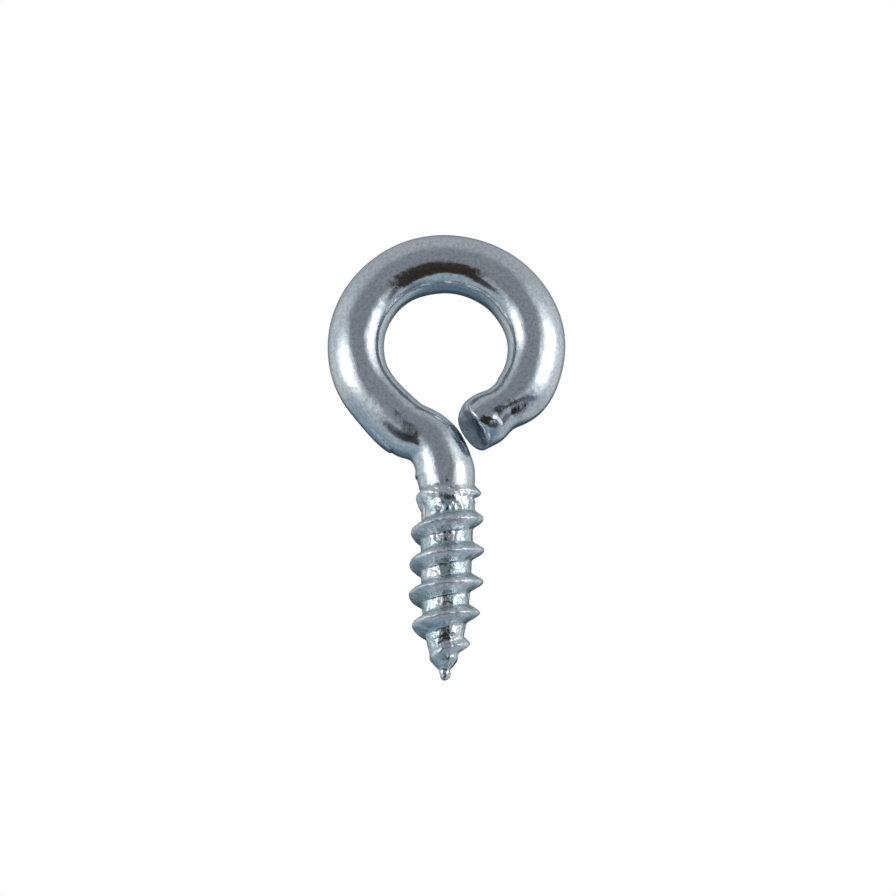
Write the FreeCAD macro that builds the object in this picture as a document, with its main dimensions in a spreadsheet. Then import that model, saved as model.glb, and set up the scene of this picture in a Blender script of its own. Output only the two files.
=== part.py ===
"""Screw eye bent from one length of plated steel wire.

An open eye and its neck stand on a shank that carries a rolled right-hand wood thread and
ends in a gimlet point.  Millimetres throughout.

Frame: the origin is on the screw axis at the top of the thread, where the surface of the
wood ends up.  +Z runs up the axis to the eye, the eye lies in the XZ plane and the point
is at -Z.
"""
import FreeCAD, Part
import math
import os

import Sketcher
from FreeCAD import Vector

NODE = "screw_eye"
SHEET = "Dimensions"
EYE_HEIGHT = ("Dimensions.neck_straight + sqrt((Dimensions.neck_bend_radius"
              " + Dimensions.eye_radius)^2 - (Dimensions.neck_bend_radius"
              " - Dimensions.eye_offset)^2)")

# Driving dimensions: alias, millimetres or degrees, meaning.
DIMENSIONS = [
    ("wire_dia", 3.1, "diameter of the wire"),
    ("eye_radius", 4.9, "radius of the eye at the middle of the wire"),
    ("eye_offset", 0.35, "how far the eye's centre lies off the screw axis, towards -X"),
    ("neck_straight", 0.16, "straight wire between the thread and the neck bend"),
    ("neck_bend_radius", 3.0, "radius of the neck bend at the middle of the wire"),
    ("end_arc_angle", 18.7, "part of the eye's arc below its side, before the end bend"),
    ("end_bend_radius", 2.85, "radius of the tighter bend before the cut end"),
    ("end_bend_angle", 36.5, "angle of that bend"),
    ("end_straight", 2.56, "straight wire between that bend and the cut end"),
    ("cut_slant", 17.0, "angle by which the shear cut leans out of square"),
    ("cut_edge_round", 0.12, "rounding of the cut end's edge"),
    ("shoulder_drop", 0.9, "length over which the wire narrows to the thread's root"),
    ("root_dia", 2.9, "diameter between the thread's ridges"),
    ("thread_length", 11.0, "from the top of the thread to the point"),
    ("point_length", 5.0, "length of the tapering point"),
    ("tip_radius", 0.33, "radius of the blunt tip"),
    ("pitch", 1.75, "rise of the thread in one turn"),
    ("ridge_height", 0.6, "height of the ridge above the root"),
    ("crest_half", 0.1, "half the width of the ridge's crest"),
    ("base_half", 0.48, "half the width of the ridge where it meets the root"),
    ("ridge_phase", -5.41, "height of one crest on the +X side"),
    ("ridge_fade", 3.0, "distance from the tip over which the ridge grows"),
]


def add_sheet(doc):
    """Put the driving dimensions in a spreadsheet, one row each."""
    sheet = doc.addObject("Spreadsheet::Sheet", SHEET)
    for row, (alias, value, meaning) in enumerate(DIMENSIONS, start=1):
        sheet.set("A%d" % row, alias)
        sheet.set("B%d" % row, str(value))
        sheet.setAlias("B%d" % row, alias)
        sheet.set("C%d" % row, meaning)
    doc.recompute()
    return sheet


def origin_plane(body, role):
    """The body's own origin plane that has this role."""
    for feature in body.Origin.OriginFeatures:
        if feature.Role == role:
            return feature
    raise RuntimeError("no origin plane " + role)


def add_sketch(body, name, role):
    """A new sketch on one of the body's origin planes."""
    sketch = body.newObject("Sketcher::SketchObject", name)
    sketch.AttachmentSupport = [(origin_plane(body, role), "")]
    sketch.MapMode = "FlatFace"
    return sketch


def drive(sketch, name, formula, *definition):
    """Add a named dimension to a sketch and bind it to a formula over the sheet."""
    index = sketch.addConstraint(Sketcher.Constraint(*definition))
    sketch.renameConstraint(index, name)
    sketch.setExpression("Constraints." + name, formula)


def arc(centre, radius, start, end):
    """Arc of a circle in a sketch, counterclockwise between two angles in degrees."""
    circle = Part.Circle(Vector(centre[0], centre[1], 0), Vector(0, 0, 1), radius)
    return Part.ArcOfCircle(circle, math.radians(start), math.radians(end))


def line(start, end):
    """Straight line in a sketch."""
    return Part.LineSegment(Vector(start[0], start[1], 0), Vector(end[0], end[1], 0))


def polar(centre, radius, degrees):
    """Point at a distance and a direction from a centre, in the sketch's plane."""
    angle = math.radians(degrees)
    return (centre[0] + radius * math.cos(angle), centre[1] + radius * math.sin(angle))


def eye_layout(sheet):
    """Where the bends of the wire have their centres, from the sheet's dimensions."""
    neck_angle = math.degrees(math.acos((sheet.neck_bend_radius - sheet.eye_offset)
                                        / (sheet.neck_bend_radius + sheet.eye_radius)))
    neck_centre = (-sheet.neck_bend_radius, sheet.neck_straight)
    eye_centre = polar(neck_centre, sheet.neck_bend_radius + sheet.eye_radius, neck_angle)
    end_centre = polar(eye_centre, sheet.eye_radius - sheet.end_bend_radius,
                       -sheet.end_arc_angle)
    heading = -90 - sheet.end_arc_angle - sheet.end_bend_angle
    bend_end = polar(end_centre, sheet.end_bend_radius, heading + 90)
    cut_middle = polar(bend_end, sheet.end_straight, heading)
    return {"neck_angle": neck_angle, "neck_centre": neck_centre, "eye_centre": eye_centre,
            "end_centre": end_centre, "bend_end": bend_end, "heading": heading,
            "cut_middle": cut_middle}


def draw_end_path(sketch, sheet, layout):
    """Middle line from the eye's +X side round to the cut end, and a little past it."""
    heading = layout["heading"]
    spare = sheet.wire_dia * math.tan(math.radians(sheet.cut_slant))
    far = polar(layout["cut_middle"], spare, heading)
    eye = sketch.addGeometry(arc(layout["eye_centre"], sheet.eye_radius,
                                 -sheet.end_arc_angle, 0))
    bend = sketch.addGeometry(arc(layout["end_centre"], sheet.end_bend_radius,
                                  heading + 90, -sheet.end_arc_angle))
    run = sketch.addGeometry(line(layout["bend_end"], far))
    sketch.addConstraint(Sketcher.Constraint("Tangent", bend, 2, eye, 1))
    sketch.addConstraint(Sketcher.Constraint("Tangent", run, 1, bend, 1))
    sketch.addConstraint(Sketcher.Constraint("Horizontal", eye, 3, eye, 2))
    drive(sketch, "eye_height", EYE_HEIGHT, "DistanceY", -1, 1, eye, 3,
          layout["eye_centre"][1])
    drive(sketch, "eye_offset", SHEET + ".eye_offset", "DistanceX", eye, 3, -1, 1,
          sheet.eye_offset)
    drive(sketch, "eye_radius", SHEET + ".eye_radius", "Radius", eye, sheet.eye_radius)
    drive(sketch, "bend_radius", SHEET + ".end_bend_radius", "Radius", bend,
          sheet.end_bend_radius)
    drive(sketch, "eye_angle", SHEET + ".end_arc_angle * 1 deg", "Angle", eye,
          math.radians(sheet.end_arc_angle))
    drive(sketch, "bend_angle", SHEET + ".end_bend_angle * 1 deg", "Angle", bend,
          math.radians(sheet.end_bend_angle))
    drive(sketch, "run_length",
          "%s.end_straight + %s.wire_dia * tan(%s.cut_slant * 1 deg)" % (SHEET, SHEET, SHEET),
          "Distance", run, sheet.end_straight + spare)


def draw_eye_path(sketch, sheet, layout):
    """Middle line from the top of the thread, through the neck, to the eye's +X side."""
    neck = sketch.addGeometry(line((0, 0), (0, sheet.neck_straight)))
    bend = sketch.addGeometry(arc(layout["neck_centre"], sheet.neck_bend_radius, 0,
                                  layout["neck_angle"]))
    eye = sketch.addGeometry(arc(layout["eye_centre"], sheet.eye_radius, 0,
                                 180 + layout["neck_angle"]))
    sketch.addConstraint(Sketcher.Constraint("Coincident", neck, 1, -1, 1))
    sketch.addConstraint(Sketcher.Constraint("Vertical", neck))
    sketch.addConstraint(Sketcher.Constraint("Tangent", bend, 1, neck, 2))
    sketch.addConstraint(Sketcher.Constraint("Tangent", eye, 2, bend, 2))
    sketch.addConstraint(Sketcher.Constraint("Horizontal", eye, 3, eye, 1))
    drive(sketch, "eye_offset", SHEET + ".eye_offset", "DistanceX", eye, 3, -1, 1,
          sheet.eye_offset)
    drive(sketch, "neck_length", SHEET + ".neck_straight", "Distance", neck,
          sheet.neck_straight)
    drive(sketch, "bend_radius", SHEET + ".neck_bend_radius", "Radius", bend,
          sheet.neck_bend_radius)
    drive(sketch, "eye_radius", SHEET + ".eye_radius", "Radius", eye, sheet.eye_radius)


def draw_wire_section(sketch, centre_x, formula, sheet):
    """Round section of the wire in a horizontal sketch."""
    circle = sketch.addGeometry(Part.Circle(Vector(centre_x, 0, 0), Vector(0, 0, 1),
                                            sheet.wire_dia / 2))
    drive(sketch, "wire_dia", SHEET + ".wire_dia", "Diameter", circle, sheet.wire_dia)
    sketch.addConstraint(Sketcher.Constraint("PointOnObject", circle, 3, -1))
    if formula is None:
        sketch.addConstraint(Sketcher.Constraint("PointOnObject", circle, 3, -2))
    else:
        drive(sketch, "offset", formula, "DistanceX", -1, 1, circle, 3, centre_x)


def add_pipe(body, name, path, section):
    """Sweep the wire's section along a path sketch."""
    pipe = body.newObject("PartDesign::AdditivePipe", name)
    pipe.Profile = section
    pipe.Spine = (path, ["Edge1", "Edge2", "Edge3"])
    return pipe


def draw_cut(sketch, path, sheet, layout):
    """Square over the waste past the cut; its near side is the line of the cut."""
    heading = layout["heading"]
    side = 2 * sheet.wire_dia
    lean = sheet.wire_dia * math.tan(math.radians(sheet.cut_slant))
    front_middle = polar(layout["cut_middle"], -lean, heading)
    near = [polar(front_middle, sheet.wire_dia, heading - 90),
            polar(front_middle, sheet.wire_dia, heading + 90)]
    corners = near + [polar(near[1], side, heading), polar(near[0], side, heading)]
    for index in range(4):
        sketch.addGeometry(line(corners[index], corners[(index + 1) % 4]))
    for index in range(4):
        sketch.addConstraint(Sketcher.Constraint("Coincident", index, 2, (index + 1) % 4, 1))
    for index in range(3):
        sketch.addConstraint(Sketcher.Constraint("Perpendicular", index, index + 1))
    sketch.addConstraint(Sketcher.Constraint("Equal", 0, 1))
    run = -3
    sketch.addExternal(path.Name, "Edge1")
    middle = sketch.addGeometry(Part.Point(Vector(*front_middle, 0)), True)
    sketch.addConstraint(Sketcher.Constraint("PointOnObject", middle, 1, run))
    sketch.addConstraint(Sketcher.Constraint("Symmetric", 0, 1, 0, 2, middle, 1))
    sketch.addConstraint(Sketcher.Constraint("Perpendicular", 0, run))
    drive(sketch, "side", "2 * %s.wire_dia" % SHEET, "Distance", 0, side)
    drive(sketch, "run_length",
          "%s.end_straight - %s.wire_dia * tan(%s.cut_slant * 1 deg)" % (SHEET, SHEET, SHEET),
          "Distance", run, 1, middle, 1, sheet.end_straight - lean)


def add_cut(body, path, sheet, layout):
    """Shear off the end along a slant, then take the sharpness off its edge."""
    sketch = add_sketch(body, "cut_line", "XZ_Plane")
    sketch.setExpression("AttachmentOffset.Base.z", SHEET + ".wire_dia")
    draw_cut(sketch, path, sheet, layout)
    uncut = body.Tip.Shape.Volume
    cut = body.newObject("PartDesign::Pocket", "end_cut")
    cut.Profile = sketch
    cut.Type = "ThroughAll"
    cut.UseCustomVector = True
    turn = "(%s.end_arc_angle + %s.end_bend_angle) * 1 deg" % (SHEET, SHEET)
    slant = "%s.cut_slant * 1 deg" % SHEET
    cut.setExpression("Direction.x", "-sin(%s) * sin(%s)" % (slant, turn))
    cut.setExpression("Direction.y", "cos(%s)" % slant)
    cut.setExpression("Direction.z", "-sin(%s) * cos(%s)" % (slant, turn))
    body.Document.recompute()
    if not 0.5 < (uncut - cut.Shape.Volume) / sheet.wire_dia < 30:
        raise RuntimeError("the end cut took off %.2f" % (uncut - cut.Shape.Volume))

    middle = Vector(layout["cut_middle"][0], 0, layout["cut_middle"][1])
    names = []
    for face in cut.Shape.Faces:
        if face.CenterOfMass.distanceToPoint(middle) < 0.2 * sheet.wire_dia:
            for number, edge in enumerate(cut.Shape.Edges, start=1):
                if any(edge.isSame(side) for side in face.Edges):
                    names.append("Edge%d" % number)
    rounding = body.newObject("PartDesign::Fillet", "cut_edge")
    rounding.Base = (cut, names)
    rounding.setExpression("Radius", SHEET + ".cut_edge_round")
    body.Document.recompute()


def add_core(body, sheet):
    """Revolve the shank under the neck: shoulder, root cylinder, tapering point."""
    sketch = add_sketch(body, "core_outline", "XZ_Plane")
    wire = sheet.wire_dia / 2
    root = sheet.root_dia / 2
    tip = -sheet.thread_length
    taper_top = tip + sheet.point_length
    tip_centre = tip + sheet.tip_radius
    taper_radius, leave = taper_circle(sheet)
    leave_point = polar((root - taper_radius, taper_top), taper_radius, -leave)
    outline = [
        line((0, tip), (0, 0)),
        line((0, 0), (wire, 0)),
        line((wire, 0), (root, -sheet.shoulder_drop)),
        line((root, -sheet.shoulder_drop), (root, taper_top)),
        arc((root - taper_radius, taper_top), taper_radius, -leave, 0),
        arc((0, tip_centre), sheet.tip_radius, -90, -leave),
    ]
    axis, top, shoulder, side, taper, ball = [sketch.addGeometry(item) for item in outline]
    for constraint in [
            ("Coincident", axis, 2, top, 1), ("Coincident", axis, 2, -1, 1),
            ("Vertical", axis), ("Horizontal", top), ("Coincident", top, 2, shoulder, 1),
            ("Coincident", shoulder, 2, side, 1), ("Vertical", side),
            ("Tangent", side, 2, taper, 2), ("Tangent", taper, 1, ball, 2),
            ("Coincident", ball, 1, axis, 1), ("PointOnObject", ball, 3, -2)]:
        sketch.addConstraint(Sketcher.Constraint(*constraint))
    drive(sketch, "length", SHEET + ".thread_length", "DistanceY", axis, 1, axis, 2,
          sheet.thread_length)
    drive(sketch, "wire_half", SHEET + ".wire_dia / 2", "DistanceX", top, 1, top, 2, wire)
    drive(sketch, "root_half", SHEET + ".root_dia / 2", "DistanceX", -1, 1, side, 1, root)
    drive(sketch, "drop", SHEET + ".shoulder_drop", "DistanceY", side, 1, -1, 1,
          sheet.shoulder_drop)
    drive(sketch, "point_length", SHEET + ".point_length", "DistanceY", axis, 1, side, 2,
          sheet.point_length)
    drive(sketch, "tip_radius", SHEET + ".tip_radius", "Radius", ball, sheet.tip_radius)
    core = body.newObject("PartDesign::Revolution", "core")
    core.Profile = sketch
    core.ReferenceAxis = (sketch, ["V_Axis"])
    core.Angle = 360
    return core


def taper_circle(sheet):
    """Radius of the point's long arc, and the angle at which the tip's ball takes over.

    The arc leaves the root cylinder tangentially and runs tangentially into the ball.
    """
    root = sheet.root_dia / 2
    ball = sheet.tip_radius
    drop = sheet.point_length - ball
    radius = (drop ** 2 + root ** 2 - ball ** 2) / (2 * (root - ball))
    return radius, math.degrees(math.asin(drop / (radius - ball)))


def core_radius(sheet, height):
    """Radius of the core at a height, from the same outline that is revolved."""
    root = sheet.root_dia / 2
    taper_top = sheet.point_length - sheet.thread_length
    if height > -sheet.shoulder_drop:
        share = min(1.0, 1 + height / sheet.shoulder_drop)
        return root + share * (sheet.wire_dia / 2 - root)
    if height > taper_top:
        return root
    taper_radius, leave = taper_circle(sheet)
    fall = min(taper_top - height, taper_radius * math.sin(math.radians(leave)))
    return root - taper_radius + math.sqrt(taper_radius ** 2 - fall ** 2)


def ridge_corners(sheet, turn):
    """The ridge's section after a number of turns: four corners in the radial plane.

    The ridge rises out of the root at both ends of the thread, so its height starts and
    ends just below the surface of the core.
    """
    middle = sheet.ridge_phase + sheet.pitch * turn
    above_tip = middle + sheet.thread_length
    grow = min(1.0, max(0.0, above_tip / sheet.ridge_fade))
    fade = min(1.0, max(0.0, -middle / (0.45 * sheet.pitch)))
    rise = sheet.ridge_height * math.sin(grow * math.pi / 2) * fade - 0.04 * (1 - grow * fade)
    slope = (sheet.base_half - sheet.crest_half) / sheet.ridge_height
    bury = 0.2
    base = sheet.crest_half + slope * (max(rise, 0) + bury)
    corners = []
    for offset, height in [(-base, -bury), (-sheet.crest_half, rise),
                           (sheet.crest_half, rise), (base, -bury)]:
        radius = core_radius(sheet, middle + offset) + height
        corners.append((max(radius, 0.05), middle + offset))
    return corners


def thread_ridge(sheet):
    """Right-hand ridge as one solid, made of half-turn spans between four helical edges."""
    steps = 24
    first = math.ceil(steps * (0.35 - sheet.thread_length - sheet.ridge_phase) / sheet.pitch)
    last = math.floor(steps * (-0.02 - sheet.ridge_phase) / sheet.pitch)
    turns = [step / steps for step in range(first, last + 1)]
    rails = [[], [], [], []]
    for turn in turns:
        angle = 2 * math.pi * turn
        for rail, (radius, height) in zip(rails, ridge_corners(sheet, turn)):
            rail.append(Vector(radius * math.cos(angle), radius * math.sin(angle), height))
    curves = [helical_curve(rail, turns) for rail in rails]

    spans = max(1, round(2 * (turns[-1] - turns[0])))
    length = (turns[-1] - turns[0]) / spans
    faces = []
    for span in range(spans):
        begin = turns[0] + span * length
        edges = []
        for curve in curves:
            piece = curve.copy()
            piece.segment(begin, begin + length)
            edges.append(piece.toShape())
        faces += [Part.makeRuledSurface(edges[index], edges[(index + 1) % 4], 1)
                  for index in range(4)]
    for end in (0, -1):
        outline = [rail[end] for rail in rails]
        faces.append(Part.Face(Part.makePolygon(outline + outline[:1])))
    shell = Part.makeShell(faces)
    shell.sewShape()
    solid = Part.makeSolid(Part.Shell(shell.Faces))
    if solid.Volume < 0:
        solid.reverse()
    return solid


def helical_curve(points, turns):
    """Smooth curve through points, with the number of turns as its parameter."""
    curve = Part.BSplineCurve()
    curve.interpolate(Points=points, Parameters=turns)
    return curve


def add_wire_form(doc, sheet):
    """The bent wire with its core, before the thread is raised on it."""
    layout = eye_layout(sheet)
    body = doc.addObject("PartDesign::Body", "wire_form")

    path = add_sketch(body, "end_path", "XZ_Plane")
    draw_end_path(path, sheet, layout)
    section = add_sketch(body, "end_section", "XY_Plane")
    section.setExpression("AttachmentOffset.Base.z", EYE_HEIGHT)
    draw_wire_section(section, sheet.eye_radius - sheet.eye_offset,
                      "%s.eye_radius - %s.eye_offset" % (SHEET, SHEET), sheet)
    doc.recompute()
    add_pipe(body, "end_wire", path, section)
    doc.recompute()

    add_cut(body, path, sheet, layout)

    path = add_sketch(body, "eye_path", "XZ_Plane")
    draw_eye_path(path, sheet, layout)
    section = add_sketch(body, "neck_section", "XY_Plane")
    draw_wire_section(section, 0, None, sheet)
    doc.recompute()
    add_pipe(body, "eye_wire", path, section)
    doc.recompute()
    add_core(body, sheet)
    doc.recompute()
    return body


def check(doc, piece, least):
    """Stop if any object failed, or if the piece isn't one sound solid of at least a volume."""
    for item in doc.Objects:
        if "Invalid" in item.State or "Error" in item.State:
            raise RuntimeError("%s failed: %s" % (item.Name, item.State))
    shape = piece.Shape
    if shape.isNull() or not shape.isValid() or len(shape.Solids) != 1:
        raise RuntimeError(piece.Label + " is not one valid solid")
    if shape.Volume < least:
        raise RuntimeError("%s is too small: %.2f" % (piece.Label, shape.Volume))


def build():
    """Make the document and write the piece."""
    doc = FreeCAD.newDocument("screw_eye_document")
    sheet = add_sheet(doc)
    body = add_wire_form(doc, sheet)
    ridge = doc.addObject("Part::Feature", "thread_ridge")
    ridge.Shape = thread_ridge(sheet)
    piece = doc.addObject("Part::Fuse", NODE)
    piece.Label = NODE
    piece.Base = body
    piece.Tool = ridge
    doc.recompute()
    check(doc, piece, body.Shape.Volume + 0.4 * ridge.Shape.Volume)

    os.makedirs("parts", exist_ok=True)
    piece.Shape.exportStep("parts/" + NODE + ".step")
    box = piece.Shape.optimalBoundingBox()
    print("%s: %.1f cubic mm, %d faces" % (NODE, piece.Shape.Volume, len(piece.Shape.Faces)))
    print("x %.2f to %.2f, y %.2f to %.2f, z %.2f to %.2f"
          % (box.XMin, box.XMax, box.YMin, box.YMax, box.ZMin, box.ZMax))


build()
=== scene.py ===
import math

import bpy
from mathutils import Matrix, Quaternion, Vector, noise


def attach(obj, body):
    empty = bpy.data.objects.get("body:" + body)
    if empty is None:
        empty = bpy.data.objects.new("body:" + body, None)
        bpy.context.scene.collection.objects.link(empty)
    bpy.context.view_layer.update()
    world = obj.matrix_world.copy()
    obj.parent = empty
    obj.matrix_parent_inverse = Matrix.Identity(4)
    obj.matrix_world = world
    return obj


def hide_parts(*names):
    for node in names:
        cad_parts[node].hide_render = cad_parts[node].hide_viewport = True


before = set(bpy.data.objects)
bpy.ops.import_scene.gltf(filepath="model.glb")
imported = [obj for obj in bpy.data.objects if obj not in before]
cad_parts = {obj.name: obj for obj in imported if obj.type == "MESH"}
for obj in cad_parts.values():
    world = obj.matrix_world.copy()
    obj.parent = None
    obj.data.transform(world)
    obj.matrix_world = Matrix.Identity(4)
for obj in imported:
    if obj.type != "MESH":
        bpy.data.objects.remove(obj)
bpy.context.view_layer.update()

MM = 0.001

# The wire's middle line, millimetres and degrees.
THREAD_LENGTH = 11.0
NECK_STRAIGHT = 0.16
NECK_RADIUS = 3.0
EYE_RADIUS = 4.9
EYE_OFFSET = 0.35
NECK_ANGLE = math.degrees(math.acos((NECK_RADIUS - EYE_OFFSET) / (NECK_RADIUS + EYE_RADIUS)))
EYE_HEIGHT = NECK_STRAIGHT + math.sqrt((NECK_RADIUS + EYE_RADIUS) ** 2
                                       - (NECK_RADIUS - EYE_OFFSET) ** 2)
END_ARC = 18.7
END_RADIUS = 2.85
END_ANGLE = 36.5
END_STRAIGHT = 2.56
SHANK_TOP = 0.25
EYE_START = 0.34
CUT_SLANT = 12.5
CUT_SKEW = 1.5
CUT_ROUND = 0.10

# The wire and its thread.
WIRE_RADIUS = 1.56
ROOT_RADIUS = 1.42
PITCH = 1.75
PHASE = -5.41
TIP_WORN = 0.12
BASE_ABOVE = 0.52
BASE_BELOW = 0.60
AROUND = 144
STRIP_END = 10 ** 6


def bump(value, centre, width):
    """Smooth hill of height 1."""
    return math.exp(-((value - centre) / width) ** 2)


def smooth(value, low, high):
    """0 below low, 1 above high, smooth between."""
    share = min(1.0, max(0.0, (value - low) / (high - low)))
    return share * share * (3 - 2 * share)


def through(value, points):
    """Straight runs through (value, height) points, level before the first and past the last."""
    if value <= points[0][0]:
        return points[0][1]
    for (x0, y0), (x1, y1) in zip(points, points[1:]):
        if value <= x1:
            share = (value - x0) / (x1 - x0)
            return y0 + (y1 - y0) * share
    return points[-1][1]


# ---------------------------------------------------------------- middle line of the eye
def eye_line():
    """Points of the middle line from the top of the thread to the cut.

    Each is (distance, x, z); they are closer together where the wire is marked or pinched,
    and the eye's outline is a little out of round.
    """
    runs = [
        (NECK_STRAIGHT, 0.0),
        (math.radians(NECK_ANGLE) * NECK_RADIUS, 1 / NECK_RADIUS),
        (math.radians(180 + NECK_ANGLE + END_ARC) * EYE_RADIUS, -1 / EYE_RADIUS),
        (math.radians(END_ANGLE) * END_RADIUS, -1 / END_RADIUS),
        (END_STRAIGHT, 0.0),
    ]
    total = sum(length for length, _ in runs)
    distance, points = EYE_START, []
    while distance < total:
        fine = bump(distance, 4.7, 0.9) + smooth(distance, total - 2.8, total - 2.2)
        distance = min(distance + 0.135 - 0.08 * min(fine, 1.0), total)
        x, z, heading = 0.0, 0.0, math.pi / 2
        left = distance
        for length, curve in runs:
            part = min(left, length)
            if curve == 0:
                x += part * math.cos(heading)
                z += part * math.sin(heading)
            else:
                turned = heading + part * curve
                x += (math.sin(turned) - math.sin(heading)) / curve
                z -= (math.cos(turned) - math.cos(heading)) / curve
                heading = turned
            left -= part
            if left <= 0:
                break
        points.append(out_of_round(distance, x, z))
    return points


def eye_angle(x, z):
    """Direction from the eye's centre in degrees, 0 to the right, 90 up, -90 to 270."""
    angle = math.degrees(math.atan2(z - EYE_HEIGHT, x + EYE_OFFSET))
    return angle + 360 if angle < -90 else angle


def wander(distance):
    """Sideways drift of the neck off the screw axis, where the wire was gripped and bent."""
    neck = -0.16 * smooth(distance, -1.6, 0.4) * (1 - smooth(distance, 0.8, 3.4))
    shank = -0.02 + 0.07 * smooth(-distance, 9.6, 10.7)
    return neck + shank * smooth(-distance, 0.0, 2.0)


def out_of_round(distance, x, z):
    """Push the line outward or inward by the small errors of a hand-fed bending tool."""
    angle = eye_angle(x, z)
    shift = (0.11 * bump(angle, 10, 22) + 0.035 * bump(angle, 48, 18)
             + 0.05 * bump(angle, 120, 28) + 0.095 * bump(angle, 158, 38)
             - 0.12 * bump(angle, 222, 15) + 0.045 * bump(angle, 249, 8)
             + 0.035 * bump(distance, 3.3, 1.2))
    shift *= smooth(distance, 1.5, 3.0)
    out = Vector((x + EYE_OFFSET, z - EYE_HEIGHT)).normalized()
    x += shift * out.x + wander(distance)
    return distance, x, z + shift * out.y


# ---------------------------------------------------------------- threaded shank
def core_radius(z):
    """Radius at the bottom of the thread's groove."""
    above = z + THREAD_LENGTH - TIP_WORN
    ball = 0.225
    taper = ROOT_RADIUS * (1 - math.exp(-above / 1.78)) - 0.10 * bump(above, 0.58, 0.16)
    taper += 0.11 * bump(above, 1.08, 0.25)
    if above < ball:
        taper = max(taper, math.sqrt(max(ball ** 2 - (ball - above) ** 2, 0.0)) * 0.92)
    taper += 0.02 * bump(above, 0.25, 0.35)
    neck = smooth(z, -0.75, 0.3)
    return taper + neck * (WIRE_RADIUS + 0.02 - ROOT_RADIUS)


def crest_radius(z):
    """Outer radius of the ridge: low at the top run-out, full in the middle, none at the tip."""
    return through(z, [(-10.8, 0.20), (-10.3, 0.50), (-9.8, 0.74), (-9.47, 0.93), (-8.96, 1.36),
                       (-8.0, 1.80), (-7.1, 1.91), (-6.2, 2.03), (-5.4, 2.045), (-4.5, 2.04),
                       (-3.7, 2.05), (-2.7, 1.99), (-2.0, 2.01), (-1.1, 1.74), (-0.85, 1.72),
                       (-0.6, 1.68), (-0.4, 1.76), (-0.2, 1.93), (0.05, 1.82), (0.25, 1.66), (0.6, 1.50)])


def ridge(u, crest_z=-5.0):
    """Height of the ridge, 0 to 1, at a distance along the axis from its crest.

    Its upper side is steeper near both ends of the thread, its lower side near the tip.
    """
    tip = smooth(-crest_z, 8.6, 9.4)
    if u > 0:
        base = BASE_ABOVE * (1 - 0.42 * (smooth(crest_z, -0.7, -0.1) + tip))
    else:
        base = BASE_BELOW * (1 - 0.35 * tip)
    share = max(0.0, 1 - abs(u) / base)
    return math.sin(math.pi / 2 * share * share / (0.14 + 0.86 * share))


def shank_radius(z, turn, u):
    """Radius of the shank at a height, where the nearest crest is u away along the axis."""
    core = core_radius(z)
    crest_z = z - u
    rise = crest_radius(crest_z) - core_radius(crest_z)
    uneven = 1 + 0.06 * noise.noise(Vector((turn * 2.1, 0.3, 7.7)))
    uneven += 0.08 * noise.noise(Vector((turn * 11.0, 4.1, 1.2)))
    front = bump((turn % 1) * 360, 275, 55)
    uneven -= 0.75 * front * smooth(z, -1.3, -0.4)
    return core + max(rise, 0.0) * uneven * ridge(u, crest_z)


def lifted(z, angle):
    """Height of a point of the shank, where the ridge flattens at its run-out."""
    right = 0.5 + 0.5 * math.cos(angle)
    z += 0.16 * bump(z, -1.0, 0.45) * (1 - right) - 0.30 * bump(z, -0.2, 0.42) * right
    return z + 0.05 * smooth(-z, 5.5, 8.0) * (1 - smooth(-z, 9.4, 10.4))


def neck_bulge(distance, turn):
    """Swelling under the place where the wire was gripped, mostly on its outer side."""
    flank = math.cos(math.radians(turn)) ** 2
    left = smooth(abs(turn - 180), 75, 15)
    return 0.05 * bump(distance, 0.72, 0.42) * flank + 0.05 * bump(distance, 0.62, 0.32) * left


def rolled_error(angle, z):
    """Unevenness of the rolled thread, worst near its run-out."""
    spot = Vector((1.5 * math.cos(angle), 1.5 * math.sin(angle), z))
    size = 0.7 + 0.5 * smooth(z, -3.4, -1.2)
    error = 0.045 * noise.noise(spot * 1.7) + 0.040 * noise.noise(spot * 3.6)
    error += 0.016 * noise.noise(spot * 8.5)
    return size * error * smooth(z, -10.9, -9.6) * (1 - smooth(z, -0.5, 0.1))


LEVELS = [-0.78, -0.69, -0.60, -0.51, -0.42, -0.33, -0.25, -0.17, -0.10, -0.04, 0.0,
          0.04, 0.10, 0.17, 0.25, 0.33, 0.42, 0.51, 0.60, 0.69, 0.78, PITCH / 2]


def shank_columns(bottom, top):
    """For each direction round the axis, the (key, z, turn, u) levels between two heights.

    Rows of levels run along the helix, so the ridge's edges stay crisp.  A row that reaches
    the bottom or the top height ends there.
    """
    columns = []
    per_turn = len(LEVELS)
    for column in range(AROUND):
        share = column / AROUND
        levels = []
        for turn in range(-5, 6):
            for number, u in enumerate(LEVELS):
                z = PHASE + PITCH * (turn + share) + u
                if bottom + 0.03 < z < top - 0.03:
                    levels.append((turn * per_turn + number, z, turn + share, u))
        columns.append(levels)
    return columns


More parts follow.
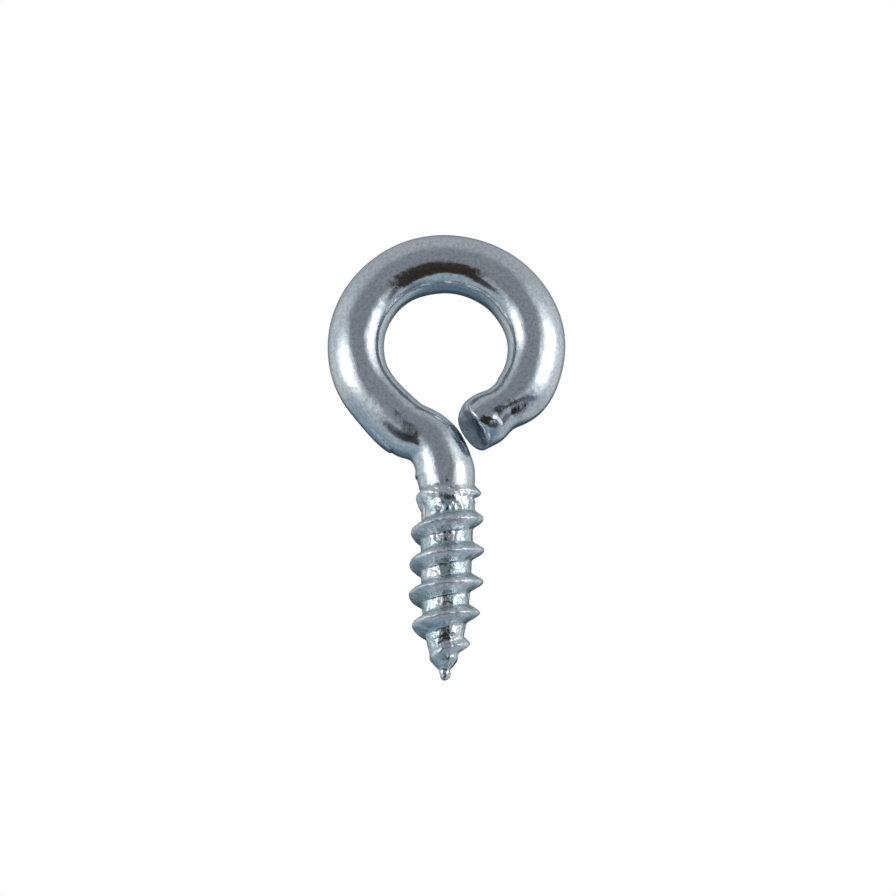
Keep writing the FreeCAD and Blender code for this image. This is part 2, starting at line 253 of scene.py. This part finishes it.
# ---------------------------------------------------------------- mesh
class Skin:
    """Vertices, faces and what the material reads at each vertex.

    That is its place on the wire, how much painted shade darkens it (bare steel too on the sheared face),
    and how near the crest of the thread.
    """

    def __init__(self):
        self.points = []
        self.places = []
        self.shade_and_bare_steel = []
        self.crest = []
        self.faces = []

    def add(self, point, place, shade_and_bare_steel=0.0, crest=0.0):
        self.points.append(point)
        self.places.append(place)
        self.shade_and_bare_steel.append(shade_and_bare_steel)
        self.crest.append(crest)
        return len(self.points) - 1

    def strip(self, one, two):
        """Join two columns of (key, index), where equal keys face each other."""
        index_one = {key: i for i, (key, _) in enumerate(one)}
        index_two = {key: i for i, (key, _) in enumerate(two)}
        shared = [key for key, _ in one if key in index_two]
        for low, high in zip(shared, shared[1:]):
            left = [index for _, index in one[index_one[low]:index_one[high] + 1]]
            right = [index for _, index in two[index_two[low]:index_two[high] + 1]]
            if len(left) == 2 and len(right) == 2:
                self.faces.append((left[0], right[0], right[1], left[1]))
                continue
            i = j = 0
            while i < len(left) - 1 or j < len(right) - 1:
                if j == len(right) - 1 or (i < len(left) - 1 and i <= j):
                    self.faces.append((left[i], right[j], left[i + 1]))
                    i += 1
                else:
                    self.faces.append((left[i], right[j], right[j + 1]))
                    j += 1

    def band(self, one, two):
        """Join two closed rings of the same length, the second farther along the wire."""
        count = len(one)
        for i in range(count):
            j = (i + 1) % count
            self.faces.append((one[i], one[j], two[j], two[i]))


def make_shank(skin):
    """The threaded shank from the tip to just above the thread; returns the top ring."""
    bottom, top = TIP_WORN + 0.32 - THREAD_LENGTH, SHANK_TOP
    per_turn = len(LEVELS)
    columns = shank_columns(bottom, top)
    tip_ring, top_ring, strips = [], [], []
    for column, levels in enumerate(columns):
        angle = 2 * math.pi * column / AROUND
        share = column / AROUND

        def place(z, turn, u):
            radius = shank_radius(z, turn, u)
            radius += 0.08 * bump(z, -1.0, 0.4) * (0.5 + 0.5 * math.cos(angle)) * (1 - ridge(u))
            radius += rolled_error(angle, z) + neck_bulge(z, math.degrees(angle))
            x, y = radius * math.cos(angle) + wander(z), radius * math.sin(angle)
            return skin.add((x, y, lifted(z, angle)), (math.cos(angle), math.sin(angle), z),
                            crest=min(1.0, 1.7 * ridge(u)) * smooth(-z, -0.2, 0.6))

        def ring_level(z):
            turn = round((z - PHASE) / PITCH - share)
            u = z - PHASE - PITCH * (turn + share)
            return place(z, turn + share, u)

        low = ring_level(bottom)
        strip = [(-STRIP_END, low)]
        strip += [(key, place(z, turn, u)) for key, z, turn, u in levels]
        high = ring_level(top)
        strip.append((STRIP_END, high))
        strips.append(strip)
        tip_ring.append(low)
        top_ring.append(high)
    for column in range(AROUND):
        one = strips[column]
        two = strips[(column + 1) % AROUND]
        if column == AROUND - 1:
            two = [(key if abs(key) == STRIP_END else key - per_turn, index)
                   for key, index in two]
        skin.strip(one, two)
    close_tip(skin, tip_ring, bottom)
    return top_ring


def close_tip(skin, ring, bottom):
    """Round the blunt tip down to one vertex."""
    low = TIP_WORN - THREAD_LENGTH
    upper = ring
    steps = 6
    for step in range(1, steps):
        share = 1 - step / steps
        z = low + (bottom - low) * (1 - math.cos(share * math.pi / 2))
        lower = []
        for column in range(AROUND):
            angle = 2 * math.pi * column / AROUND
            x0, y0, _ = skin.points[ring[column]]
            reach = math.sin(share * math.pi / 2)
            lower.append(skin.add((x0 * reach, y0 * reach, z),
                                  (math.cos(angle), math.sin(angle), z)))
        skin.band(lower, upper)
        upper = lower
    pole = skin.add((0.0, 0.0, low), (0.0, 0.0, low))
    for column in range(AROUND):
        skin.faces.append((upper[(column + 1) % AROUND], upper[column], pole))


def wire_halves(distance, total, angle):
    """Half the wire's size in the plane of the eye and across it, and how egg-shaped it is.

    Bending thickens the wire on the inside of the bend, so its crown moves that way.
    """
    left = total - distance
    swell = 0.065 * smooth(angle, -15, 15) * (1 - smooth(angle, 100, 140))
    swell += 0.045 * bump(distance, 5.3, 0.9) - 0.02 * bump(distance, 3.3, 1.0)
    in_plane = WIRE_RADIUS + swell + 0.02 * smooth(distance, 2.0, 0.0)
    across = WIRE_RADIUS + 0.5 * swell
    waist = bump(left, 2.05, 0.85)
    flare = smooth(left, 1.6, 0.2)
    in_plane -= 0.27 * waist + 0.13 * flare
    across += 0.03 * waist
    crown = 0.13 * smooth(distance, 3.2, 5.4) * smooth(left, 1.6, 3.4)
    crown -= 0.06 * bump(distance, 2.0, 1.0)
    return in_plane, across, crown


def make_eye(skin, ring):
    """The neck, the eye and the cut end, on from the shank's top ring."""
    rows = eye_line()
    total = rows[-1][0]
    slant, skew = math.tan(math.radians(CUT_SLANT)), math.tan(math.radians(CUT_SKEW))
    last = ring
    for number, (distance, x, z) in enumerate(rows):
        ahead = rows[min(number + 1, len(rows) - 1)]
        behind = rows[max(number - 1, 0)]
        tangent = Vector((ahead[1] - behind[1], 0, ahead[2] - behind[2])).normalized()
        side = Vector((tangent.z, 0, -tangent.x))
        left = total - distance
        lean = smooth(left, 2.5, 0.1)
        in_plane, across, crown = wire_halves(distance, total, eye_angle(x, z))
        row = []
        for column in range(AROUND):
            angle = 2 * math.pi * column / AROUND
            out = in_plane * math.cos(angle)
            back = across * math.sin(angle) * (1 + crown * math.cos(angle))
            point = Vector((x, 0, z)) + side * out + Vector((0, back, 0))
            normal = side * math.cos(angle) + Vector((0, math.sin(angle), 0))
            point += normal * surface_error(distance, angle, left)
            point += tangent * lean * (slant * back - skew * (in_plane - out) - 0.04
                                       - cut_droop(math.degrees(angle)))
            # The last value is painted shade along the jaw mark's edge.
            row.append(skin.add(tuple(point), (math.cos(angle), math.sin(angle), distance),
                                jaw_edge_painted_shade(distance, angle)))
        skin.band(last, row)
        last = row
    close_cut(skin, last, total)


def jaw_mark(distance, turn):
    """Distance past the gripping jaw's half-moon edge on the neck, and how deep it is there."""
    edge = distance - 4.27 - 0.42 * (max(0.0, turn - 196) / 11) ** 2
    return edge, smooth(turn, 150, 176) * (1 - smooth(turn, 206, 212))


def jaw_edge_painted_shade(distance, angle):
    """Painted shade, 0 to 1, along the edge of the jaw's mark, where its small step falls into shade."""
    edge, jaw = jaw_mark(distance, math.degrees(angle) % 360)
    return 0.9 * bump(edge, -0.03, 0.05) * jaw


def inner_side(turn):
    """1 on the wire's side towards the eye's middle, fading over 42 degrees both ways."""
    return max(bump(turn, 355, 42), bump(turn, -5, 42))


def surface_error(distance, angle, left):
    """Small dents and swellings left by drawing, gripping and cutting the wire.

    The angle goes round the wire: 0 towards the eye's middle, 180 outward, 270 to the front.
    """
    around = Vector((math.cos(angle) * 1.5, math.sin(angle) * 1.5, distance * 0.55))
    error = 0.018 * noise.noise(around)
    error += 0.006 * noise.noise(around * 3.7)
    error *= smooth(distance, 0.2, 1.0)
    turn = math.degrees(angle) % 360
    edge, jaw = jaw_mark(distance, turn)
    error += 0.065 * smooth(edge, -0.02, 0.06) * (1 - smooth(edge, 0.30, 1.4)) * jaw
    error -= 0.03 * bump(edge, -0.04, 0.06) * jaw
    error += 0.05 * bump(distance, 4.2, 0.6) * (1 - smooth(abs(turn - 180), 20, 60))
    error += neck_bulge(distance, turn)
    # A curled burr and a flat left by the cutters, and the softened rim of the sheared face.
    error += 0.035 * bump(left, 0.34, 0.20) * bump(turn, 270, 14)
    error += 0.06 * bump(left, 0.62, 0.22) * bump(turn, 252, 8)
    groove = smooth(left, 0.8, 1.3) * (1 - smooth(left, 2.6, 3.4))
    groove *= 1 + 0.5 * noise.noise(Vector((left * 1.1, 3.1, 0.4)))
    error -= 0.07 * groove * bump(turn, 238, 15)
    error += 0.06 * bump(left, 0.75, 0.5) * bump(turn, 190, 30)
    curl = max(0.0, 1 - left / 0.6)
    curl = 1 - math.sqrt(1 - curl * curl)
    error -= curl * (0.10 * bump(turn, 214, 46) + 0.36 * inner_side(turn))
    return error


def cut_droop(turn):
    """How far the sheared face's rim is dragged back, on its lower front and inner sides."""
    return 0.20 * bump(turn, 214, 48) + 0.10 * inner_side(turn)


def close_cut(skin, edge, total):
    """Round the cut's edge and close it with a slightly uneven sheared face of bare steel, darkened with
    painted shade.
    """
    centre = sum((Vector(skin.points[i]) for i in edge), Vector()) / len(edge)
    rim = [Vector(skin.points[i]) for i in edge]
    normal = Vector()
    for i in range(AROUND):
        normal += (rim[i] - centre).cross(rim[(i + 1) % AROUND] - centre)
    normal.normalize()
    upper = edge
    steps = [(0.985, 0.30), (0.955, 0.62), (0.91, 0.86), (0.86, 0.97)]
    steps += [(0.81 - 0.81 * i / 9, 1.0) for i in range(9)]
    for reach, rise in steps:
        lower = []
        for column in range(AROUND):
            angle = 2 * math.pi * column / AROUND
            flat = centre + (rim[column] - centre) * reach
            rough = 0.02 * noise.noise(flat * 2.3) + 0.01 * noise.noise(flat * 7.0)
            drag = cut_droop(math.degrees(angle)) * (reach - smooth(reach, 0.30, 1.0))
            point = flat + normal * (CUT_ROUND * rise + rough * smooth(reach, 1.0, 0.85) + drag)
            # The last value darkens the sheared face: bare steel, with painted shade standing in for its
            # dark reflection.
            lower.append(skin.add(tuple(point),
                                  (reach * math.cos(angle), reach * math.sin(angle), total),
                                  0.45 * smooth(reach, 0.98, 0.80)))
        skin.band(upper, lower)
        upper = lower
    # The middle of the sheared face gets the same painted shade.
    pole = skin.add(tuple(centre + normal * CUT_ROUND), (0.0, 0.0, total), 0.45)
    for column in range(AROUND):
        skin.faces.append((upper[column], upper[(column + 1) % AROUND], pole))


def make_screw_eye():
    """One closed mesh of the whole screw eye."""
    skin = Skin()
    top_ring = make_shank(skin)
    make_eye(skin, top_ring)
    mesh = bpy.data.meshes.new("bent_wire_screw_eye")
    mesh.from_pydata([(x * MM, y * MM, z * MM) for x, y, z in skin.points], [], skin.faces)
    places = mesh.attributes.new("place", "FLOAT_VECTOR", "POINT")
    for item, place in zip(places.data, skin.places):
        item.vector = place
    # Painted shade along the jaw mark's edge and on the sheared face, which is bare steel too.
    shade_and_bare_steel = mesh.attributes.new("shade_and_bare_steel", "FLOAT", "POINT")
    shade_and_bare_steel.data.foreach_set("value", skin.shade_and_bare_steel)
    crest = mesh.attributes.new("crest", "FLOAT", "POINT")
    crest.data.foreach_set("value", skin.crest)
    mesh.validate()
    mesh.shade_smooth()
    piece = bpy.data.objects.new("bent_wire_screw_eye", mesh)
    bpy.context.scene.collection.objects.link(piece)
    return piece


# ---------------------------------------------------------------- material
class Graph:
    """Short way to add and link a material's or the world's nodes."""

    def __init__(self, tree):
        self.tree = tree
        self.tree.nodes.clear()

    def add(self, kind, inputs=None, **settings):
        node = self.tree.nodes.new(kind)
        for name, value in settings.items():
            setattr(node, name, value)
        for name, value in (inputs or {}).items():
            socket = node.inputs[name]
            if isinstance(value, bpy.types.NodeSocket):
                self.tree.links.new(value, socket)
            else:
                socket.default_value = value
        return node

    def math(self, operation, one, two=0.0, three=0.0):
        node = self.add("ShaderNodeMath", {0: one, 1: two, 2: three}, operation=operation)
        return node.outputs[0]

    def mix(self, share, one, two):
        node = self.add("ShaderNodeMix", {0: share, 6: one, 7: two}, data_type="RGBA")
        return node.outputs[2]

    def steps(self, value, low, high, start=0.0, end=1.0):
        node = self.add("ShaderNodeMapRange", {0: value, 1: low, 2: high, 3: start, 4: end},
                        interpolation_type="SMOOTHSTEP")
        return node.outputs[0]


def zinc_material():
    """Bright zinc plating with a faint blue passivate over drawn wire."""
    material = bpy.data.materials.new("zinc_plated_steel_bright")
    material.use_nodes = True
    graph = Graph(material.node_tree)
    position = graph.add("ShaderNodeTexCoord").outputs["Object"]
    wire = graph.add("ShaderNodeAttribute", attribute_name="place").outputs["Vector"]
    along = graph.add("ShaderNodeVectorMath", {0: wire, 1: (1.0, 1.0, 0.05)},
                      operation="MULTIPLY").outputs[0]

    def cloud(vector, scale, detail, roughness):
        return graph.add("ShaderNodeTexNoise", {"Vector": vector, "Scale": scale,
                                                "Detail": detail,
                                                "Roughness": roughness}).outputs[0]

    patches = cloud(position, 480.0, 4.0, 0.6)
    grain = cloud(position, 5600.0, 2.0, 0.6)
    peel = cloud(position, 3600.0, 3.0, 0.55)
    specks = graph.steps(cloud(position, 5200.0, 1.0, 0.5), 0.62, 0.74)
    knocks = cloud(position, 2100.0, 2.0, 0.5)
    waves = cloud(position, 900.0, 2.0, 0.5)
    streaks = cloud(along, 26.0, 3.0, 0.6)

    length = graph.add("ShaderNodeSeparateXYZ", {0: wire}).outputs[2]
    rolled = graph.steps(length, -0.7, 0.3, 1.0, 0.0)
    shade_and_bare = graph.add("ShaderNodeAttribute", attribute_name="shade_and_bare_steel").outputs["Fac"]
    crest = graph.add("ShaderNodeAttribute", attribute_name="crest").outputs["Fac"]

    cool = (0.655, 0.725, 0.775, 1)
    plain = (0.725, 0.755, 0.79, 1)
    teal = (0.50, 0.63, 0.67, 1)
    pale = (0.77, 0.79, 0.82, 1)
    dull = (0.45, 0.48, 0.52, 1)
    colour = graph.mix(graph.steps(patches, 0.36, 0.62), cool, plain)
    colour = graph.mix(rolled, colour, graph.mix(graph.steps(waves, 0.42, 0.58), pale, teal))
    colour = graph.mix(graph.math("MULTIPLY", crest, graph.steps(waves, 0.40, 0.58, 0.8, 0.1)),
                       colour, (0.78, 0.82, 0.87, 1))
    colour = graph.mix(graph.steps(streaks, 0.30, 0.45, 0.30, 0.0), colour, dull)
    colour = graph.mix(graph.steps(grain, 0.34, 0.60, 0.55, 0.0), colour, dull)
    # Painted shade: dark blue along the jaw mark's edge and on the sheared face, which is also bare
    # steel.
    colour = graph.mix(shade_and_bare, colour, (0.16, 0.22, 0.28, 1))

    rough = graph.steps(grain, 0.35, 0.65, 0.16, 0.09)
    rough = graph.math("ADD", rough, graph.steps(patches, 0.35, 0.65, 0.03, -0.02))
    rough = graph.math("MULTIPLY_ADD", shade_and_bare, 0.15, rough)
    rough = graph.math("MULTIPLY_ADD", rolled, 0.03, rough)
    rough = graph.math("MULTIPLY_ADD", crest, graph.steps(knocks, 0.38, 0.60, 0.30, 0.14), rough)

    height = graph.math("MULTIPLY_ADD", waves, graph.steps(rolled, 0.0, 1.0, 0.9, 3.0),
                        graph.math("MULTIPLY", peel, graph.steps(rolled, 0.0, 1.0, 0.3, 2.0)))
    height = graph.math("MULTIPLY_ADD", grain, 0.12, height)
    height = graph.math("MULTIPLY_ADD", specks, 0.09, height)
    height = graph.math("MULTIPLY_ADD", knocks, graph.math("MULTIPLY", rolled, 5.0), height)
    height = graph.math("MULTIPLY_ADD", streaks, 0.2, height)
    dents = graph.add("ShaderNodeBump", {"Strength": 1.0, "Distance": 0.000016,
                                         "Height": height})
    bare = graph.math("MULTIPLY_ADD", crest, -0.12, 1.0)
    shader = graph.add("ShaderNodeBsdfPrincipled", {"Base Color": colour, "Metallic": bare,
                                                    "Roughness": rough,
                                                    "Normal": dents.outputs[0]})
    out = graph.add("ShaderNodeOutputMaterial")
    graph.tree.links.new(shader.outputs[0], out.inputs["Surface"])
    return material


# ---------------------------------------------------------------- stage
# Soft ovals of the surroundings, laid over each other in this order.  Each has an azimuth (0 in
# front, 90 to the right) and elevation, half its width and height, how soft its edge is, and
# its colour.
SURROUNDINGS = [
    # bright cloth at both sides, and duller cloth below it
    (-90, 8, 34, 34, 0.5, (0.68, 0.705, 0.72)),
    (92, 10, 34, 36, 0.5, (0.70, 0.72, 0.74)),
    (-72, -40, 34, 24, 0.5, (0.50, 0.55, 0.59)),
    (85, -40, 36, 22, 0.5, (0.50, 0.535, 0.59)),
    # darker blue-grey, low at the sides and behind
    (-120, -45, 34, 26, 0.5, (0.29, 0.39, 0.46)),
    (125, -70, 40, 12, 0.5, (0.17, 0.26, 0.33)),
    (-173, -36, 36, 36, 0.4, (0.13, 0.19, 0.245)),
    (180, 10, 42, 42, 0.5, (0.22, 0.26, 0.31)),
    (180, -14, 36, 22, 0.4, (0.06, 0.08, 0.105)),
    # plain grey in front, and the glow of the two softboxes
    (0, 22, 52, 42, 0.35, (0.272, 0.288, 0.312)),
    (-60, 0, 25, 17, 0.55, (1.35, 1.37, 1.40)),
    (61, 10, 26, 26, 0.55, (1.35, 1.37, 1.40)),
    # shadow under the cloths
    (-34, -38, 16, 15, 0.35, (0.06, 0.066, 0.078)),
    (50, -26, 20, 9, 0.6, (0.15, 0.16, 0.18)),
]


def studio_world():
    """Soft studio surroundings that the bright plating reflects.

    The ovals of SURROUNDINGS lie over pale grey that turns blue-grey downwards, and a dark gap
    is open low in front, where the camera stands.  The camera itself sees plain white.
    """
    world = bpy.data.worlds.new("studio")
    world.use_nodes = True
    bpy.context.scene.world = world
    graph = Graph(world.node_tree)
    direction = graph.add("ShaderNodeTexCoord").outputs["Generated"]

    def along(axis):
        return graph.add("ShaderNodeVectorMath", {0: direction, 1: axis},
                         operation="DOT_PRODUCT").outputs["Value"]

    def patch(azimuth, elevation, wide, high, soft):
        """1 inside an oval of the surroundings, 0 outside; sizes are half angles."""
        a, e = math.radians(azimuth), math.radians(elevation)
        middle = (math.sin(a) * math.cos(e), -math.cos(a) * math.cos(e), math.sin(e))
        right = (math.cos(a), math.sin(a), 0.0)
        up = (-math.sin(a) * math.sin(e), math.cos(a) * math.sin(e), math.cos(e))
        ahead = along(middle)
        x = graph.math("DIVIDE", graph.math("ARCTAN2", along(right), ahead),
                       math.radians(wide))
        z = graph.math("DIVIDE", graph.math("ARCTAN2", along(up), ahead),
                       math.radians(high))
        reach = graph.math("SQRT", graph.math("ADD", graph.math("MULTIPLY", x, x),
                                              graph.math("MULTIPLY", z, z)))
        return graph.steps(reach, 1 - soft, 1 + soft, 1.0, 0.0)

    split = graph.add("ShaderNodeSeparateXYZ", {0: direction}).outputs
    up = split[2]
    colour = graph.mix(graph.steps(up, -0.15, -0.6), (0.52, 0.55, 0.56, 1),
                       (0.43, 0.51, 0.54, 1))
    colour = graph.mix(graph.steps(up, 0.3, 0.9), colour, (0.46, 0.475, 0.50, 1))
    colour = graph.mix(graph.steps(up, -0.7, -0.93), colour, (0.31, 0.42, 0.47, 1))
    for azimuth, elevation, wide, high, soft, tint in SURROUNDINGS:
        shade = patch(azimuth, elevation, wide, high, soft)
        colour = graph.mix(shade, colour, tint + (1,))

    # The gap between the cloths, narrow at the top, with the dark room behind the camera.
    around = graph.math("ARCTAN2", split[0], graph.math("MULTIPLY", split[1], -1.0))
    height = graph.math("ARCSINE", up)
    drop = graph.math("MULTIPLY_ADD", height, -1.0, math.radians(9))
    left = graph.math("MULTIPLY_ADD", drop, 0.70, around)
    right = graph.math("MULTIPLY_ADD", around, -1.0, graph.math("MULTIPLY", drop, 1.12))
    inside = graph.math("MINIMUM", graph.math("MINIMUM", left, right),
                        graph.math("ADD", height, math.radians(50)))
    flecks = graph.add("ShaderNodeTexNoise", {"Vector": direction, "Scale": 22.0,
                                              "Detail": 3.0, "Roughness": 0.6}).outputs[0]
    room = graph.mix(graph.steps(flecks, 0.48, 0.60), (0.014, 0.015, 0.018, 1),
                     (0.10, 0.075, 0.05, 1))
    colour = graph.mix(graph.steps(inside, -0.05, 0.06), colour, room)

    strength = graph.add("ShaderNodeBackground", {"Color": colour, "Strength": 1.0})
    plain = graph.add("ShaderNodeBackground", {"Color": (1, 1, 1, 1), "Strength": 1.0})
    seen = graph.add("ShaderNodeLightPath").outputs["Is Camera Ray"]
    mixed = graph.add("ShaderNodeMixShader", {0: seen, 1: strength.outputs[0],
                                              2: plain.outputs[0]})
    out = graph.add("ShaderNodeOutputWorld")
    graph.tree.links.new(mixed.outputs[0], out.inputs["Surface"])


def softbox(name, azimuth, elevation, distance, width, height, power):
    """A soft rectangular lamp that faces the eye; azimuth 0 is in front, 90 to the right."""
    lamp = bpy.data.lights.new(name, "AREA")
    lamp.shape = "RECTANGLE"
    lamp.size, lamp.size_y = width, height
    lamp.energy = power
    lit = bpy.data.objects.new(name, lamp)
    a, e = math.radians(azimuth), math.radians(elevation)
    away = Vector((math.sin(a) * math.cos(e), -math.cos(a) * math.cos(e), math.sin(e)))
    lit.location = away * distance + Vector((0, 0, 0.002))
    lit.rotation_mode = "QUATERNION"
    lit.rotation_quaternion = away.to_track_quat("Z", "Y")
    lit.visible_camera = False
    bpy.context.scene.collection.objects.link(lit)


def floor():
    """Plain pale floor, lower than the camera that looks up at the screw eye.

    It glows faintly so that it stays pale from every side, and the plating doesn't reflect it.
    """
    mesh = bpy.data.meshes.new("floor")
    half, level = 1.5, -0.055
    mesh.from_pydata([(-half, -half, level), (half, -half, level), (half, half, level),
                      (-half, half, level)], [], [(0, 1, 2, 3)])
    piece = bpy.data.objects.new("floor", mesh)
    bpy.context.scene.collection.objects.link(piece)
    material = bpy.data.materials.new("floor_pale")
    material.use_nodes = True
    shader = material.node_tree.nodes["Principled BSDF"]
    shader.inputs["Base Color"].default_value = (0.86, 0.88, 0.92, 1)
    shader.inputs["Roughness"].default_value = 0.8
    shader.inputs["Emission Color"].default_value = (1, 1, 1, 1)
    shader.inputs["Emission Strength"].default_value = 0.22
    mesh.materials.append(material)
    piece.visible_glossy = False


def camera():
    """Long lens a little below the eye, looking up at it, leaning slightly."""
    data = bpy.data.cameras.new("camera")
    piece = bpy.data.objects.new("camera", data)
    bpy.context.scene.collection.objects.link(piece)
    bpy.context.scene.camera = piece
    distance, elevation, roll = 0.200, -13.5, 1.5
    wide = 0.0491
    data.sensor_width = 36.0
    data.lens = 18.0 / (wide / 2 / distance)
    data.clip_start, data.clip_end = 0.001, 10.0
    target = Vector((-0.00009, 0, 0.00203))
    e = math.radians(elevation)
    away = Vector((0, -math.cos(e), math.sin(e)))
    piece.location = target + away * distance
    piece.rotation_mode = "QUATERNION"
    turn = away.to_track_quat("Z", "Y")
    piece.rotation_quaternion = turn @ Quaternion((0, 0, 1), math.radians(roll))


piece = make_screw_eye()
piece.data.materials.append(zinc_material())
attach(piece, "root")
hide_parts("screw_eye")

camera()
studio_world()
floor()
softbox("softbox_left", -60, 0, 0.5, 0.26, 0.18, 0.15)
softbox("softbox_right", 61, 10, 0.5, 0.26, 0.28, 0.22)
bpy.context.scene.view_settings.view_transform = "Standard"
